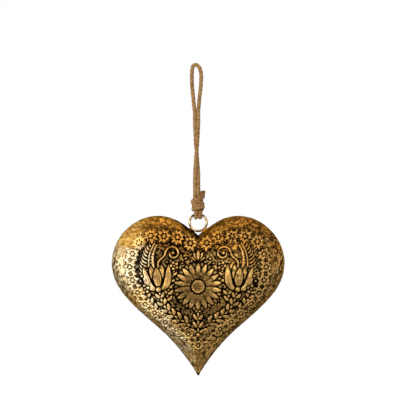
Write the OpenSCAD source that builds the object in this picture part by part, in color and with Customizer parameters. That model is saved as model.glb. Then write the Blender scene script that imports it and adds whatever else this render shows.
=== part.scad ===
// Copper heart ornament: a hollow heart of two pressed shells with a wire ring soldered in its notch, hung
// from a knotted jute cord. The origin is where a hook bears in the cord's loop. +Z is up and the embossed
// front faces -Y.

/* [Heart] */
// Width across the two lobes
heart_w = 172; // [140:1:210]
// Height from the tops of the lobes to the tip
heart_h = 159; // [130:1:195]
// Depth from the front crown to the back crown
heart_d = 54; // [44:1:68]
// Depth of the notch between the lobes
notch_depth = 21; // [18:0.5:26]
// Angle of each side of the notch from upright, in degrees
notch_angle = 45; // [40:1:50]
// Thickness of the pressed sheet
sheet_t = 0.9; // [0.6:0.1:1.4]

/* [Seam] */
// Thickness of the solder between the two rims
seam_t = 0.8; // [0.4:0.1:1.2]
// How far the solder stands proud of the rims
seam_proud = 0.4; // [0.1:0.1:0.6]

/* [Ring] */
// Outside diameter of the hanging ring
ring_d = 19.4; // [17:0.2:24]
// Diameter of the ring's wire
ring_wire_d = 2.3; // [1.8:0.1:2.8]
// Angle left open at the ring's butt joint, in degrees
ring_joint_angle = 2; // [1:1:6]
// Thickness of the solder between the ring and the seam on each side of the notch
ring_solder_t = 0.6; // [0.4:0.1:1.2]
// How far that solder spreads past the ring's wire
ring_solder_spread = 1; // [0.6:0.1:1.6]

/* [Cord] */
// Diameter of the jute cord
cord_d = 3.8; // [3:0.1:3.8]
// Diameter of the cord where it is pulled tight round the ring
bight_d = 3.2; // [2.4:0.1:3.8]
// Outside diameter of the knot's wrapped turns
knot_d = 13.2; // [11:0.2:16]
// Height of the wrapped turns
knot_h = 12; // [9:0.5:15]
// Number of wrapped turns
knot_turns = 3; // [2:1:3]
// Length of the two strands between the stem and the knot
neck_l = 9.5; // [6:0.5:14]
// Length of the cut end that stands up beside the neck
tail_l = 8.5; // [4:0.5:9]

/* [Hidden] */
$fn = 48;

// Room round the ring's wire inside the cord's turns, and between the ring and the knot
ring_room = 0.5;
knot_room = 0.8;
// Room in the foot of the knot for the cord's turns to roll with the ring
bight_room = 0.3;
// Gap between the ring's solder and the pieces that it holds
solder_gap = 0.05;
// Gap between strands that lie side by side
strand_gap = 0.1;

// The cord's centre line: up one strand from the neck, round the loop and down the other strand
cord_route = [
    [-3.5, 0, -120.5], [-3.5, 0, -112], [-3.4, -0.6, -104], [-2.9, -1.5, -95], [-2.1, -1.9, -86],
    [-1.5, -2, -80], [-0.9, -1.9, -73], [-0.2, -1.5, -64], [0.3, -0.6, -55], [0.4, 0, -47],
    [0.4, 0, -39], [0.9, 0, -32], [1.7, 0, -24], [2.6, 0, -16], [3, 0, -9],
    [2.8, 0, -3], [1.6, 0, 1.5], [-0.6, 0, 4.4], [-3.2, 0, 5.2], [-5.2, 0, 3.4],
    [-6.1, 0, -0.6], [-6.3, 0, -6], [-6.2, 0, -13], [-5.7, 0, -20], [-4.9, 0, -28],
    [-4.2, 0, -36], [-3.6, 0, -44], [-3.6, 0.2, -50], [-3.4, 0.9, -58], [-2.9, 1.6, -67],
    [-2.2, 2, -76], [-1.5, 2.1, -82], [-0.8, 1.9, -90], [-0.1, 1.4, -98], [0.4, 0.6, -106],
    [0.4, 0, -113], [0.4, 0, -120.5]
];
cord_sides = 8;

// Heights from the cord down to the ring, each carried by the one above
neck_z = cord_route[0][2];
knot_z = neck_z - neck_l;
knot_foot_z = knot_z - knot_h;
ring_wire_r = ring_wire_d / 2;
ring_r = ring_d / 2 - ring_wire_r;
ring_top_z = knot_foot_z - ring_wire_r - knot_room;
ring_z = ring_top_z - ring_r;

// The cord's two turns round the top of the ring
bight_r = ring_wire_r + ring_room + bight_d / 2;
bight_x = (bight_d + strand_gap) / 2;

// Outline of the heart: shares of the overall sizes place the ends of its curves
half_w = heart_w / 2;
lobe_x = 0.465 * half_w;
widest_z = -0.295 * heart_h;
turn = [0.448 * half_w, -0.704 * heart_h];
// The flank's angle from upright at its turn, and half the angle of the tip
flank_angle = atan2(half_w, heart_h + widest_z);
turn_angle = flank_angle + 11.5;
tip_angle = flank_angle - 7.5;
// How far each curve holds its end directions, as shares of its length
notch_hold = 0.29;
lobe_hold = 0.38;
round_hold = 0.53;
side_hold = 0.32;
turn_hold_up = 0.42;
turn_hold_down = 0.4;
tip_hold = 0.21;
curve_steps = 10;

// Dome of each shell: its crown, the oval that the outline softens into, and how full it is
crown = [0, -0.377 * heart_h];
oval_w = 0.93 * half_w;
oval_up = 1.25 * (-crown[1] - notch_depth);
oval_down = 0.8 * (heart_h + crown[1]);
soften_power = 3;
dome_power = 2.4;
side_fullness = 0.58;
tip_fullness = 1;
tip_spread = 4;
dome_steps = 11;

function heading(angle) = [sin(angle), cos(angle)];
function curve(a, a_hold, b_hold, b) = [a, a + norm(b - a) * a_hold, b + norm(b - a) * b_hold, b];
function on_curve(c, t) =
    pow(1 - t, 3) * c[0] + 3 * t * pow(1 - t, 2) * c[1] + 3 * t * t * (1 - t) * c[2] + pow(t, 3) * c[3];

notch_point = [0, -notch_depth];
lobe_point = [lobe_x, 0];
side_point = [half_w, widest_z];
tip_point = [0, -heart_h];
quarter = side_point - lobe_point;
half_curves = [
    curve(notch_point, notch_hold * heading(notch_angle), lobe_hold * [-1, 0], lobe_point),
    [lobe_point, lobe_point + [quarter[0] * round_hold, 0],
        side_point - [0, quarter[1] * round_hold], side_point],
    curve(side_point, side_hold * [0, -1], turn_hold_up * heading(turn_angle), turn),
    curve(turn, -turn_hold_down * heading(turn_angle), tip_hold * heading(tip_angle), tip_point)
];

// The ring's seat: it lies in the notch, square to the side of the notch at this distance from its centre
ring_reach = ring_d / 2 + ring_solder_t + seam_proud;
notch_side = half_curves[0];
function curve_way(c, t) =
    let (way = pow(1 - t, 2) * (c[1] - c[0]) + 2 * t * (1 - t) * (c[2] - c[1]) + t * t * (c[3] - c[2]))
    way / norm(way);
function seat_out(t) = let (way = curve_way(notch_side, t)) [-way[1], way[0]];
function ring_centre(t) = on_curve(notch_side, t) + ring_reach * seat_out(t);
// Share of the notch's side at which that centre is on the middle line, found by halving
function seat_share(low, high, halvings) =
    let (middle = (low + high) / 2)
    halvings == 0 ? middle
        : ring_centre(middle)[0] > 0 ? seat_share(low, middle, halvings - 1)
        : seat_share(middle, high, halvings - 1);
seat_halvings = 24;
seat_t = seat_share(0, 1, seat_halvings);
seat = on_curve(notch_side, seat_t);
seat_angle = atan2(seat_out(seat_t)[0], seat_out(seat_t)[1]);
// Height of the lobes' tops, which follows from the ring
heart_z = ring_z - ring_centre(seat_t)[1];

// Right half of the outline, from the notch round to the tip
half_line = concat(
    [for (c = half_curves) for (i = [0 : curve_steps - 1]) on_curve(c, i / curve_steps)],
    [tip_point]
);
tip_index = len(half_line) - 1;
loop_count = 2 * tip_index;

// Direction and reach of each outline point from the crown, and the slant at which its edge meets that line
half_way = [for (p = half_line) (p - crown) / norm(p - crown)];
half_reach = [for (p = half_line) norm(p - crown)];
half_edge = [for (i = [0 : tip_index]) half_line[min(i + 1, tip_index)] - half_line[min(i, tip_index - 1)]];
half_slant = [
    for (i = [0 : tip_index])
        abs(half_way[i][0] * half_edge[i][1] - half_way[i][1] * half_edge[i][0]) / norm(half_edge[i])
];

function half_index(j) = j <= tip_index ? j : loop_count - j;
function side_of(j) = j <= tip_index ? 1 : -1;
function oval_reach(u) = 1 / norm([u[0] / oval_w, u[1] / (u[1] > 0 ? oval_up : oval_down)]);
function soft_reach(h, t) =
    let (oval = oval_reach(half_way[h])) t * (oval + (half_reach[h] - oval) * pow(t, soften_power));
function fullness(u) = side_fullness + (tip_fullness - side_fullness) * pow(max(0, -u[1]), tip_spread);
function dome(h, t) = pow(max(0, 1 - pow(t, dome_power)), fullness(half_way[h]));
function in_plane(j, reach) =
    let (p = crown + half_way[half_index(j)] * reach) [side_of(j) * p[0], p[1]];

// Outline moved out from its edge by a distance, or in where it is negative
function moved_outline(distance) = [
    for (j = [0 : loop_count - 1])
        let (h = half_index(j)) in_plane(j, half_reach[h] + distance / half_slant[h])
];

// One surface of the front shell, ring by ring from the crown to the rim
function shell_rings(wall) = [
    for (k = [1 : dome_steps]) for (j = [0 : loop_count - 1])
        let (
            h = half_index(j),
            t = sin(90 * k / dome_steps),
            p = in_plane(j, soft_reach(h, t) - t * wall / half_slant[h]),
            depth = heart_d / 2 - seam_t / 2 - wall
        )
        [p[0], -seam_t / 2 - depth * dome(h, t), heart_z + p[1]]
];
function crown_point(wall) = [0, wall - heart_d / 2, heart_z + crown[1]];

ring_points = dome_steps * loop_count;
function at(k, j) = (k - 1) * loop_count + j % loop_count;
function surface_faces(first, crown_index) = concat(
    [for (j = [0 : loop_count - 1]) [first + at(1, j), first + at(1, j + 1), crown_index]],
    [for (k = [1 : dome_steps - 1]) for (j = [0 : loop_count - 1]) for (half = [0, 1])
        half == 0
            ? [first + at(k + 1, j), first + at(k + 1, j + 1), first + at(k, j + 1)]
            : [first + at(k + 1, j), first + at(k, j + 1), first + at(k, j)]]
);
function turned(faces) = [for (f = faces) [f[2], f[1], f[0]]];
function rim_faces(first) = [
    for (j = [0 : loop_count - 1]) for (half = [0, 1])
        let (a = at(dome_steps, j), b = at(dome_steps, j + 1))
        half == 0 ? [first + a, first + b, b] : [first + a, b, a]
];

module pressed_shell() {
    polyhedron(
        points = concat(shell_rings(0), shell_rings(sheet_t), [crown_point(0), crown_point(sheet_t)]),
        faces = concat(
            surface_faces(0, 2 * ring_points),
            turned(surface_faces(ring_points, 2 * ring_points + 1)),
            rim_faces(ring_points)
        )
    );
}

module front_shell() {
    color("#b8863b") pressed_shell();
}

module back_shell() {
    color("#a87a35") mirror([0, 1, 0]) pressed_shell();
}

module seam_solder() {
    color("#6f5328") translate([0, 0, heart_z]) rotate([90, 0, 0]) linear_extrude(seam_t, center = true)
        difference() {
            polygon(moved_outline(seam_proud));
            polygon(moved_outline(-sheet_t));
        }
}

// A wire hoop about the Y axis, from start over angle degrees
module hoop(radius, wire_d, start = 0, angle = 360) {
    rotate([90, 0, 0]) rotate([0, 0, start]) rotate_extrude(angle = angle)
        translate([radius, 0]) circle(d = wire_d);
}

// Solder on each side of the notch, which straddles the seam and cups the lower half of the ring's wire
module ring_solder() {
    joint_d = ring_wire_d + 2 * ring_solder_spread;
    joint_h = seam_proud + ring_solder_t + ring_wire_r;
    seam_slot = [joint_d, seam_t + 2 * solder_gap, 2 * (seam_proud + solder_gap)];
    color("#5a4424") difference() {
        for (side = [-1, 1])
            translate([side * seat[0], 0, heart_z + seat[1]]) rotate([0, side * seat_angle, 0]) difference() {
                translate([0, 0, solder_gap]) cylinder(d = joint_d, h = joint_h - solder_gap);
                cube(seam_slot, center = true);
            }
        translate([0, 0, ring_z]) hoop(ring_r, ring_wire_d + 2 * solder_gap);
    }
}

module hanging_ring() {
    joint_place = 60;
    color("#c59d69") translate([0, 0, ring_z])
        hoop(ring_r, ring_wire_d, joint_place + ring_joint_angle / 2, 360 - ring_joint_angle);
}

// Directions across the cord at each point of its route
function cord_way(i) =
    let (last = len(cord_route) - 1, step = cord_route[min(i + 1, last)] - cord_route[max(i - 1, 0)])
    step / norm(step);
function cord_ring(i) =
    let (
        way = cord_way(i),
        side = cross(way, [0, 1, 0]) / norm(cross(way, [0, 1, 0])),
        front = cross(side, way)
    )
    [for (s = [0 : cord_sides - 1])
        cord_route[i] + cord_d / 2 * (cos(360 * s / cord_sides) * side + sin(360 * s / cord_sides) * front)];

module hanging_loop() {
    rings = len(cord_route);
    color("#a47d56") polyhedron(
        points = [for (i = [0 : rings - 1]) each cord_ring(i)],
        faces = concat(
            [[for (s = [0 : cord_sides - 1]) s]],
            [for (i = [0 : rings - 2]) for (s = [0 : cord_sides - 1]) for (half = [0, 1])
                let (a = i * cord_sides + s, b = i * cord_sides + (s + 1) % cord_sides)
                half == 0 ? [b, a, a + cord_sides] : [b, a + cord_sides, b + cord_sides]],
            [[for (s = [0 : cord_sides - 1]) rings * cord_sides - 1 - s]]
        )
    );
}

module cord_neck() {
    color("#9a7048") for (end = [cord_route[0], cord_route[len(cord_route) - 1]])
        translate([end[0], end[1], knot_z]) cylinder(d = cord_d, h = neck_l);
}

module cord_knot() {
    wrap_r = (knot_d - cord_d) / 2;
    pitch = knot_h / knot_turns;
    saddle_r = bight_r + bight_d / 2 + bight_room;
    saddle_w = 2 * bight_x + bight_d + 2 * bight_room;
    color("#936740") difference() {
        translate([0, 0, knot_foot_z]) rotate_extrude() {
            square([wrap_r, knot_h]);
            for (i = [0 : knot_turns - 1])
                translate([wrap_r, (i + 0.5) * pitch]) circle(d = cord_d);
        }
        translate([0, 0, ring_top_z]) rotate([0, 90, 0]) cylinder(r = saddle_r, h = saddle_w, center = true);
    }
}

module cord_tail() {
    neck_edge_x = cord_route[len(cord_route) - 1][0] + cord_d / 2;
    color("#af835c") translate([neck_edge_x + strand_gap + cord_d / 2, 0, knot_z])
        cylinder(d = cord_d, h = tail_l);
}

module cord_bight() {
    color("#8a6038") for (x = [-bight_x, bight_x])
        translate([x, 0, ring_top_z]) rotate([0, 0, 90]) hoop(bight_r, bight_d);
}

front_shell();
back_shell();
seam_solder();
ring_solder();
hanging_ring();
hanging_loop();
cord_neck();
cord_knot();
cord_tail();
cord_bight();
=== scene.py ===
"""Copper heart ornament: a pressed, antiqued heart that hangs by a brass ring from a knotted jute cord."""

import math

import bpy
import numpy as np
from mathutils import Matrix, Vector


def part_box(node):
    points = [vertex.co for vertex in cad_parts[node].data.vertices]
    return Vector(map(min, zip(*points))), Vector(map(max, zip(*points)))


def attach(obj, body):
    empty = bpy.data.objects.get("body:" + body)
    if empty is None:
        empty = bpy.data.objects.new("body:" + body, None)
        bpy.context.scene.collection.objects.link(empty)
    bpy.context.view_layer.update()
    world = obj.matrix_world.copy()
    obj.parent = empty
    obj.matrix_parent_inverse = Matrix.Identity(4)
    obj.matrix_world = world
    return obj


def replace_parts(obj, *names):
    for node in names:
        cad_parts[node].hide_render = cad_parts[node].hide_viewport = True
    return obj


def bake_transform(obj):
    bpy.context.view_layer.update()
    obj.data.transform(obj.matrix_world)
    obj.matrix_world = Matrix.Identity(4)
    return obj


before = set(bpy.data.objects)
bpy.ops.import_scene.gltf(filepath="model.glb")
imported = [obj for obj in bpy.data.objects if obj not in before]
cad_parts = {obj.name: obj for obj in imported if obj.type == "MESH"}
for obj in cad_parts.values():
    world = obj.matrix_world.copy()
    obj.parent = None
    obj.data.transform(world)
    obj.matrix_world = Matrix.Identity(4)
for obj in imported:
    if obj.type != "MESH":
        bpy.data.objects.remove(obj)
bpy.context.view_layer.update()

# Lengths are in millimetres in the object's frame, and MM turns them into metres
MM = 0.001
FULL_TURN = 2 * math.pi


def box_mm(node_name):
    """Lowest and highest corner of a CAD node, in millimetres."""
    return [np.array(corner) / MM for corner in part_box(node_name)]


# Lines and curves

SPAN_CUTS, LINE_STEP = 16, 0.6


def unit(vectors):
    return vectors / np.linalg.norm(vectors, axis=-1, keepdims=True)


def heading(angle):
    """Direction in the heart's plane, in degrees from upright."""
    return np.array([math.sin(math.radians(angle)), math.cos(math.radians(angle))])


def headings(count, turn=0, between=0):
    """Equal steps all round from an angle, moved on by a share of a step."""
    return np.array([heading(turn + 360 * (i + between) / count) for i in range(count)])


def angles_round(count):
    return np.linspace(0, FULL_TURN, count, endpoint=False)


def ease(value, start, end):
    """Smooth step from 0 at start to 1 at end."""
    share = np.clip((value - start) / (end - start), 0, 1)
    return share * share * (3 - 2 * share)


def bezier(points, count):
    """Points along the curve of four control points."""
    t = np.linspace(0, 1, count)[:, None]
    a, b, c, d = (np.asarray(p, float) for p in points)
    return (1 - t) ** 3 * a + 3 * t * (1 - t) ** 2 * b + 3 * t * t * (1 - t) * c + t**3 * d


def run_of(line):
    """Length along a line at each of its points."""
    return np.concatenate([[0], np.cumsum(np.linalg.norm(np.diff(line, axis=0), axis=1))])


def length_of(line):
    return run_of(line)[-1]


def point_at(line, length):
    """Points at lengths along a line."""
    run = run_of(line)
    return np.stack([np.interp(length, run, line[:, i]) for i in range(line.shape[1])], axis=-1)


def smooth_line(points):
    """A smooth curve through points (Catmull-Rom), cut into equal steps."""
    p = np.asarray(points, float)
    p = np.vstack([2 * p[0] - p[1], p, 2 * p[-1] - p[-2]])
    t = np.linspace(0, 1, SPAN_CUTS, endpoint=False)[:, None]
    spans = [
        0.5 * (2 * b + (c - a) * t + (2 * a - 5 * b + 4 * c - d) * t**2 + (3 * b - a - 3 * c + d) * t**3)
        for a, b, c, d in zip(p, p[1:], p[2:], p[3:])
    ]
    line = np.vstack([*spans, p[-2:-1]])
    length = length_of(line)
    return point_at(line, np.linspace(0, length, max(2, round(length / LINE_STEP)) + 1))


def frames_along(line):
    """Directions along and across a line, which don't spin about it."""
    along = unit(np.gradient(line, axis=0))
    side = np.empty_like(along)
    side[0] = unit(np.cross(along[0], (0, 1, 0)))
    for i in range(1, len(line)):
        side[i] = unit(side[i - 1] - (side[i - 1] @ along[i]) * along[i])
    return along, side, np.cross(along, side)


# Meshes

def band_faces(rows, sides, closed=False):
    """Quads between rings of points, and from the last ring to the first if closed."""
    def at(row, side):
        return row % rows * sides + side % sides

    return [
        (at(r, s), at(r, s + 1), at(r + 1, s + 1), at(r + 1, s))
        for r in range(rows if closed else rows - 1)
        for s in range(sides)
    ]


class Build:
    """Points, faces and named point values of a mesh as it grows."""

    def __init__(self):
        self.points, self.faces, self.values = [], [], {}
        self.count = 0

    def add(self, points, faces, **values):
        self.faces += [tuple(i + self.count for i in face) for face in faces]
        self.points.append(np.asarray(points, float))
        for name, value in values.items():
            self.values.setdefault(name, []).append(np.asarray(value, float))
        self.count += len(points)

    def tube(self, line, radii, side, front, **values):
        """A closed tube, with a row of radii for each point of its line."""
        rows, sides = radii.shape
        turn = angles_round(sides)[None, :, None]
        out = np.cos(turn) * side[:, None, :] + np.sin(turn) * front[:, None, :]
        points = line[:, None, :] + radii[..., None] * out
        first = tuple(range(sides))
        last = tuple((rows - 1) * sides + i for i in first)
        self.add(points.reshape(-1, 3), [*band_faces(rows, sides), first[::-1], last], **values)

    def piece(self, name, material, slot):
        """The Blender object of the mesh, in metres and smooth-shaded."""
        mesh = bpy.data.meshes.new(name)
        mesh.from_pydata((np.vstack(self.points) * MM).tolist(), [], self.faces)
        for key, parts in self.values.items():
            value = np.concatenate(parts).astype(np.float32)
            kind, field = ("FLOAT_VECTOR", "vector") if value.ndim == 2 else ("FLOAT", "value")
            mesh.attributes.new(key, kind, "POINT").data.foreach_set(field, value.ravel())
        mesh.polygons.foreach_set("use_smooth", np.ones(len(mesh.polygons), bool))
        mesh.materials.append(material)
        mesh.update()
        piece = bpy.data.objects.new(name, mesh)
        bpy.context.collection.objects.link(piece)
        return piece


# Materials

class Paint:
    """The shader of a material or the world, with short names for the nodes that it needs."""

    def __init__(self, owner):
        owner.use_nodes = True
        self.owner, self.tree = owner, owner.node_tree

    def connect(self, made, inputs):
        """Links or sets a node's inputs. Colours are red, green and blue."""
        for key, value in inputs.items():
            socket = made.inputs[key]
            if isinstance(value, bpy.types.NodeSocket):
                self.tree.links.new(value, socket)
            else:
                socket.default_value = (*value, 1) if socket.type == "RGBA" else value

    def node(self, kind, inputs=(), **settings):
        """The outputs of a new node with these settings and inputs."""
        made = self.tree.nodes.new("ShaderNode" + kind)
        for key, value in settings.items():
            setattr(made, key, value)
        self.connect(made, dict(inputs))
        return made.outputs

    def place(self):
        """Where a point lies in the object's frame, in metres."""
        return self.node("TexCoord")["Object"]

    def value(self, name, output="Fac"):
        return self.node("Attribute", attribute_name=name)[output]

    def mix(self, share, a, b):
        """A colour between two. The node's sockets for colours have no names of their own."""
        share_socket, a_socket, b_socket, result_socket = 0, 6, 7, 2
        inputs = {share_socket: share, a_socket: a, b_socket: b}
        return self.node("Mix", inputs, data_type="RGBA")[result_socket]

    def scaled(self, colour, share):
        return self.node("VectorMath", {0: colour, "Scale": share}, operation="SCALE")["Vector"]

    def maths(self, operation, a, b):
        return self.node("Math", {0: a, 1: b}, operation=operation)[0]

    def plus(self, a, b):
        return self.maths("ADD", a, b)

    def times(self, a, b):
        return self.maths("MULTIPLY", a, b)

    def most(self, a, b):
        return self.maths("MAXIMUM", a, b)

    def stepped(self, value, low, high, out_low=0.0, out_high=1.0):
        """A value turned smoothly from one range to another."""
        inputs = {"Value": value, "From Min": low, "From Max": high, "To Min": out_low, "To Max": out_high}
        return self.node("MapRange", inputs, interpolation_type="SMOOTHSTEP")["Result"]

    def clouds(self, place, scale, detail, roughness):
        inputs = {"Vector": place, "Scale": scale, "Detail": detail, "Roughness": roughness}
        return self.node("TexNoise", inputs)["Fac"]

    def noise(self, size, detail, roughness=0.55, stretch=(1, 1, 1)):
        """Noise in patches of a size in millimetres, longer where stretch is more than 1."""
        scale = tuple(1 / (size * MM * s) for s in stretch)
        spread = self.node("Mapping", {"Vector": self.place(), "Scale": scale})["Vector"]
        return self.clouds(spread, 1.0, detail, roughness)

    def bump(self, height, strength, depth, **under):
        """A normal from a height, over another one if Normal is given."""
        inputs = {"Height": height, "Strength": strength, "Distance": depth * MM, **under}
        return self.node("Bump", inputs)["Normal"]

    def finished(self, inputs):
        """The material, with its shader's inputs linked or set."""
        self.connect(self.tree.nodes["Principled BSDF"], inputs)
        return self.owner


# Camera: square on to the heart, one millimetre of its middle plane to a pixel of a 400-pixel picture

def make_camera():
    picture_w, middle_x, middle_z, away, sensor_w = 400.0, 1.8, -130.0, 1500.0, 36.0
    data = bpy.data.cameras.new("camera")
    data.sensor_width = sensor_w
    data.lens = sensor_w * away / picture_w
    camera = bpy.data.objects.new("camera", data)
    camera.location = (middle_x * MM, -away * MM, middle_z * MM)
    camera.rotation_euler = (math.radians(90), 0, 0)
    bpy.context.collection.objects.link(camera)
    bpy.context.scene.camera = camera


make_camera()

# The jute cord

# Centre line of the loop and stem in metres: up one strand, round the top and down the other
CORD_ROUTE = [
    (-0.0035, 0, -0.1205), (-0.0035, 0, -0.112), (-0.0034, -0.0006, -0.104), (-0.0029, -0.0015, -0.095),
    (-0.0021, -0.0019, -0.086), (-0.0015, -0.002, -0.08), (-0.0009, -0.0019, -0.073),
    (-0.0002, -0.0015, -0.064), (0.0003, -0.0006, -0.055), (0.0004, 0, -0.047), (0.0004, 0, -0.039),
    (0.0009, 0, -0.032), (0.0017, 0, -0.024), (0.0026, 0, -0.016), (0.003, 0, -0.009), (0.0028, 0, -0.003),
    (0.0016, 0, 0.0015), (-0.0006, 0, 0.0044), (-0.0032, 0, 0.0052), (-0.0052, 0, 0.0034),
    (-0.0061, 0, -0.0006), (-0.0063, 0, -0.006), (-0.0062, 0, -0.013), (-0.0057, 0, -0.02),
    (-0.0049, 0, -0.028), (-0.0042, 0, -0.036), (-0.0036, 0, -0.044), (-0.0036, 0.0002, -0.05),
    (-0.0034, 0.0009, -0.058), (-0.0029, 0.0016, -0.067), (-0.0022, 0.002, -0.076),
    (-0.0015, 0.0021, -0.082), (-0.0008, 0.0019, -0.09), (-0.0001, 0.0014, -0.098),
    (0.0004, 0.0006, -0.106), (0.0004, 0, -0.113), (0.0004, 0, -0.1205),
]

CORD_D, BIGHT_D, TAIL_D = 3.8, 4.2, 1.15 * 3.8

JUTE_DARK, JUTE_LIGHT, JUTE_BRIGHT = (0.18, 0.072, 0.016), (0.67, 0.405, 0.17), (0.76, 0.54, 0.31)
# JUTE_HOLLOW is the tone of painted shade between plies and under neighbouring turns, and of a rope's darker
# end
JUTE_BROWN, JUTE_OLIVE, JUTE_HOLLOW = (0.30, 0.125, 0.036), (0.47, 0.34, 0.16), (0.07, 0.026, 0.006)

knot_low, knot_high = box_mm("cord_knot")
ring_low, ring_high = box_mm("hanging_ring")
KNOT_TOP, KNOT_FOOT = knot_high[2], knot_low[2]
KNOT_D = knot_high[0] - knot_low[0]
RING_WIRE_R = (ring_high[1] - ring_low[1]) / 2
RING_R = (ring_high[2] - ring_low[2]) / 2 - RING_WIRE_R
RING_Z = (ring_high[2] + ring_low[2]) / 2
RING_TOP = RING_Z + RING_R


def jute():
    """Streaks along each ply, brown and olive patches, painted shade where the light is kept out, and a
    darker end on a rope that is darkened there.
    """
    paint = Paint(bpy.data.materials.new("jute"))
    mix, stepped = paint.mix, paint.stepped
    streak = paint.clouds(paint.value("fibre", "Vector"), 2.6, 5.0, 0.65)
    patch = paint.noise(9, 2)
    colour = mix(stepped(streak, 0.36, 0.66), JUTE_DARK, JUTE_LIGHT)
    colour = mix(stepped(patch, 0.5, 0.68, 0, 0.6), colour, JUTE_BROWN)
    colour = mix(stepped(patch, 0.46, 0.3, 0, 0.6), colour, JUTE_OLIVE)
    colour = mix(stepped(streak, 0.62, 0.75, 0, 0.7), colour, JUTE_BRIGHT)
    colour = mix(paint.times(paint.value("hollow"), 0.9), colour, JUTE_HOLLOW)
    return paint.finished({
        "Base Color": colour,
        "Normal": paint.bump(streak, 0.7, 0.35),
        "Roughness": 0.88,
        "Specular IOR Level": 0.1,
        "Sheen Weight": 0.05,
    })


JUTE = jute()


def add_rope(build, line, diameter, rng, taper=0.0, crowded=(0, 0, 0), end_darkening=0.0):
    """A rope of twisted plies. Towards its end, taper spreads them and end_darkening makes them darker.
    crowded is the direction in which neighbours keep the light out, which is painted as shade."""
    plies, sides, lay, fibre_lay, streak_run, streak_shift = 3, 12, 13.0, 5.5, 7.0, 7
    ply_r, ply_out = 0.385 * diameter, 0.16 * diameter
    wander_step, wander_share = 3, 0.05
    _, side, front = frames_along(line)
    run = run_of(line)
    spread = taper * ease(run / run[-1], 0.55, 1)
    end_darkened = end_darkening * ease(run / run[-1], 0.35, 0.7)[:, None]
    ring = angles_round(sides)
    # inward: painted shade on the side of each ply that faces into the rope, in the creases between plies
    inward = ease(-np.cos(ring), -0.72, 0.0)
    for ply in range(plies):
        turn = FULL_TURN * (run / lay + ply / plies)
        out = np.cos(turn)[:, None] * side + np.sin(turn)[:, None] * front
        middle = line + (ply_out * (1 + 2.4 * spread))[:, None] * out
        way = unit(np.gradient(middle, axis=0))
        ply_side = unit(out - np.sum(out * way, axis=1)[:, None] * way)
        ply_front = np.cross(way, ply_side)
        spin = ring - FULL_TURN * run[:, None] / fibre_lay
        stops = np.arange(0, run[-1] + wander_step, wander_step)
        wander = np.interp(run, stops, rng.uniform(-wander_share, wander_share, len(stops)))[:, None]
        ripple = 1 + 0.05 * np.sin(5 * spin) + 0.03 * np.sin(8 * spin + 1.7) + wander
        radii = ply_r * ripple * (1 - 0.2 * spread)[:, None]
        length = np.broadcast_to(run[:, None] / streak_run + streak_shift * ply, spin.shape)
        fibre = np.stack([np.cos(spin), np.sin(spin), length], axis=2)
        swing = np.cos(ring) * (ply_side @ crowded)[:, None] + np.sin(ring) * (ply_front @ crowded)[:, None]
        lift = np.abs(((middle - line) @ crowded)[:, None] + radii * swing)
        hidden = ease(lift / (ply_r + ply_out), 0.56, 0.86)
        hollow = np.maximum(np.maximum(inward, hidden), end_darkened)
        build.tube(middle, radii, ply_side, ply_front, fibre=fibre.reshape(-1, 3), hollow=hollow.ravel())


def add_fuzz(build, line, diameter, count, rng, part=(0, 1), lean=0.0):
    """Loose fibres that stand off a part of a rope. lean points them along the line."""
    points, sides, root_r, tip_r, root_share = 5, 3, 0.085, 0.03, 0.44
    along, side, front = frames_along(line)
    t = np.linspace(0, 1, points)[:, None]
    radii = np.linspace(root_r, tip_r, points)[:, None] * np.ones(sides)
    for _ in range(count):
        i = int(len(line) * rng.uniform(*part)) % len(line)
        turn = rng.uniform(0, FULL_TURN)
        out = math.cos(turn) * side[i] + math.sin(turn) * front[i]
        across = math.sin(turn) * side[i] - math.cos(turn) * front[i]
        reach, lift = rng.uniform(1.2, 3.6), rng.uniform(0.4, 1.3)
        way = rng.choice((-1, 1)) * along[i] if lean == 0 else lean * along[i]
        bend = rng.uniform(-0.4, 0.4)
        root = line[i] + root_share * diameter * out
        hair = root + reach * (t * way + bend * t**2 * across) + lift * t**1.5 * out
        hair_side = unit(np.cross(np.gradient(hair, axis=0), out))
        hair_front = unit(np.cross(np.gradient(hair, axis=0), hair_side))
        fibre = np.tile((rng.uniform(0, 9), rng.uniform(0, 9), 0), (radii.size, 1))
        build.tube(hair, radii, hair_side, hair_front, fibre=fibre, hollow=np.zeros(radii.size))


def jute_hanger():
    """The loop and stem, with both strands drawn together down into the knot."""
    def into_knot(end, lean):
        x, _, z = end
        return [(x, 0, (z + KNOT_TOP) / 2), (x + 0.5, 0, KNOT_TOP + 0.5), (x + lean, 0, KNOT_TOP - 4)]

    route = np.array(CORD_ROUTE) / MM
    line = smooth_line([*into_knot(route[0], 1.5)[::-1], *route, *into_knot(route[-1], 1.3)])
    drawn_in, drawn_from, drawn_by = 0.13, -36, -43
    middle = (route[0][0] + route[-1][0]) / 2
    line[:, 0] = middle + (line[:, 0] - middle) * (1 - drawn_in * ease(line[:, 2], drawn_from, drawn_by))
    build, rng = Build(), np.random.default_rng(11)
    add_rope(build, line, CORD_D, rng)
    add_fuzz(build, line, CORD_D, 220, rng)
    piece = build.piece("jute_hanger", JUTE, "jute")
    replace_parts(piece, "hanging_loop", "cord_neck")
    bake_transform(piece)
    return piece, line


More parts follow.
